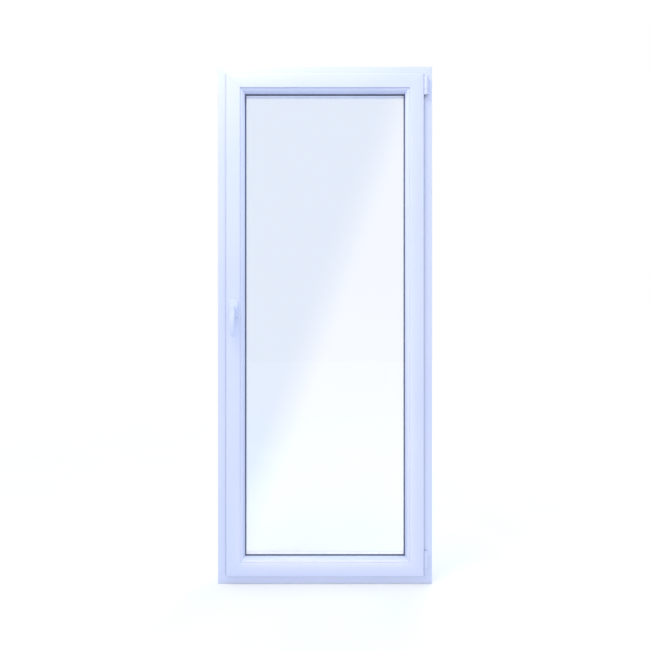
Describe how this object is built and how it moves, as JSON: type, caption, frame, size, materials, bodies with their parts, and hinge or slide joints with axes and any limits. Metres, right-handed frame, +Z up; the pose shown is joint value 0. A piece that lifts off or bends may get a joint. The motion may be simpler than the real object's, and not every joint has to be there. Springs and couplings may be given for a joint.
{
  "type": "casement window",
  "caption": "Tall single-sash tilt-and-turn casement window in white hollow profiles, double glazed, with lever handle, locking gear and two-way hinges.",
  "frame": {"origin": "middle of the underside of the outer frame, half way through its depth", "axes": "+X to the right seen from the room, +Y outwards through the wall, +Z up"},
  "size_m": [0.87, 0.1393, 2.1],
  "materials": {
    "white_profile": "extruded white rigid plastic with a soft gloss and fine lengthwise drawing",
    "black_seal": "matt black extruded seal",
    "hinge_cover": "moulded white cap with a satin gloss",
    "handle_coat": "white powder coat on cast metal",
    "clear_glass": "clear float glass",
    "spacer_bar": "mill aluminium with a perforated inner face",
    "edge_sealant": "matt dark sealant",
    "packer": "moulded blue packer",
    "gear_casting": "bare zinc casting",
    "galvanised_steel": "hot-dip galvanised steel",
    "plated_steel": "bright zinc-plated steel"
  },
  "bodies": {
    "frame": {"frame_sill": "white_profile", "frame_head": "white_profile", "frame_jamb_left": "white_profile", "frame_jamb_right": "white_profile", "frame_steel": "galvanised_steel", "frame_gasket": "black_seal", "drain_caps": "white_profile", "side_keeps": "plated_steel", "head_keep": "plated_steel", "sill_keep": "plated_steel", "keep_screws": "plated_steel", "corner_bearing": "plated_steel", "corner_bearing_cover": "hinge_cover", "stay_bearing": "plated_steel", "stay_bearing_pin": "plated_steel", "stay_bearing_cover": "hinge_cover", "bearing_screws": "plated_steel"},
    "pivot": {"pivot_ball": "plated_steel"},
    "sash": {"sash_rail_bottom": "white_profile", "sash_rail_top": "white_profile", "sash_stile_left": "white_profile", "sash_stile_right": "white_profile", "sash_steel": "galvanised_steel", "sash_gasket": "black_seal", "bead_bottom": "white_profile", "bead_top": "white_profile", "bead_left": "white_profile", "bead_right": "white_profile", "bead_gasket": "black_seal", "outer_gasket": "black_seal", "glass_room": "clear_glass", "glass_outside": "clear_glass", "glass_spacer": "spacer_bar", "edge_seal": "edge_sealant", "glazing_packers": "packer", "gearbox_housing": "gear_casting", "side_faceplate": "plated_steel", "top_faceplate": "plated_steel", "bottom_faceplate": "plated_steel", "corner_drive_top": "plated_steel", "corner_drive_bottom": "plated_steel", "faceplate_screws": "plated_steel", "hinge_band": "plated_steel", "hinge_band_cover": "hinge_cover", "hinge_band_screws": "plated_steel", "handle_base": "gear_casting", "handle_rosette": "handle_coat", "handle_screws": "plated_steel"},
    "handle": {"handle_lever": "handle_coat", "handle_spindle": "plated_steel", "pinion": "plated_steel"},
    "side_rod": {"side_rod": "plated_steel", "side_cams": "plated_steel"},
    "top_rod": {"top_rod": "plated_steel", "top_cam": "plated_steel"},
    "bottom_rod": {"bottom_rod": "plated_steel", "bottom_cam": "plated_steel"},
    "stay_arm": {"stay_arm": "plated_steel", "stay_knuckle_cover": "hinge_cover"},
    "stay_link": {"stay_link": "plated_steel"}
  },
  "joints": [
    {"name": "sash_turn", "type": "hinge", "parent": "frame", "child": "pivot", "pos_m": [0.4085, -0.046, 0.0605], "axis": [0, 0, 1], "range_deg": [0, 90]},
    {"name": "sash_tilt", "type": "hinge", "parent": "pivot", "child": "sash", "pos_m": [0.4085, -0.046, 0.0605], "axis": [1, 0, 0], "range_deg": [0, 4]},
    {"name": "handle_turn", "type": "hinge", "parent": "sash", "child": "handle", "pos_m": [-0.367, -0.06, 1.114], "axis": [0, -1, 0], "range_deg": [0, 180]},
    {"name": "side_rod_slide", "type": "slide", "parent": "sash", "child": "side_rod", "axis": [0, 0, -1], "range_m": [0, 0.0265]},
    {"name": "top_rod_slide", "type": "slide", "parent": "sash", "child": "top_rod", "axis": [-1, 0, 0], "range_m": [0, 0.0265]},
    {"name": "bottom_rod_slide", "type": "slide", "parent": "sash", "child": "bottom_rod", "axis": [1, 0, 0], "range_m": [0, 0.0265]},
    {"name": "stay_swing", "type": "hinge", "parent": "pivot", "child": "stay_arm", "pos_m": [0.4085, -0.046, 1.98], "axis": [0, 0, 1], "range_deg": [0, 18]},
    {"name": "link_swing", "type": "hinge", "parent": "stay_arm", "child": "stay_link", "pos_m": [0.1085, -0.0255, 2.0455], "axis": [0, 0, -1], "range_deg": [0, 37]}
  ],
  "couplings": [
    {"joint": "side_rod_slide", "follows": "handle_turn", "m_per_rad": 0.0084},
    {"joint": "top_rod_slide", "follows": "handle_turn", "m_per_rad": 0.0084},
    {"joint": "bottom_rod_slide", "follows": "handle_turn", "m_per_rad": 0.0084},
    {"joint": "stay_swing", "follows": "sash_tilt", "ratio": 4.445},
    {"joint": "link_swing", "follows": "sash_tilt", "ratio": 9.15}
  ]
}
